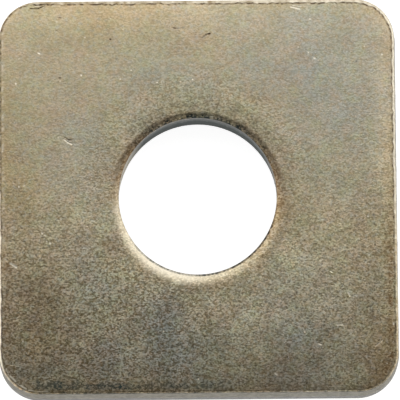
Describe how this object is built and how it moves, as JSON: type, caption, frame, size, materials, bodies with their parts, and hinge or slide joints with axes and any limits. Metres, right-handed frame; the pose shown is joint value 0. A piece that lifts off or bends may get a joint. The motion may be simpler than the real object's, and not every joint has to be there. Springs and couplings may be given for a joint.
{
  "type": "square plate washer",
  "caption": "Thick square plate washer with rounded corners and a punched round hole, spreads the load of a bolt head or nut over timber or channel.",
  "frame": {"origin": "on the axis of the hole, at the underside that rests on the work", "axes": "+Z along the hole axis, out of the top face with the rolled-in rim of the hole; +X and +Y across the sides of the square"},
  "size_m": [0.045, 0.045, 0.006],
  "materials": {
    "yellow_zinc_steel": "dull yellow chromate over zinc plate, with mottled olive, grey and brown staining and bare bright scratches"
  },
  "bodies": {
    "root": {"plate_washer": "yellow_zinc_steel"}
  },
  "joints": []
}
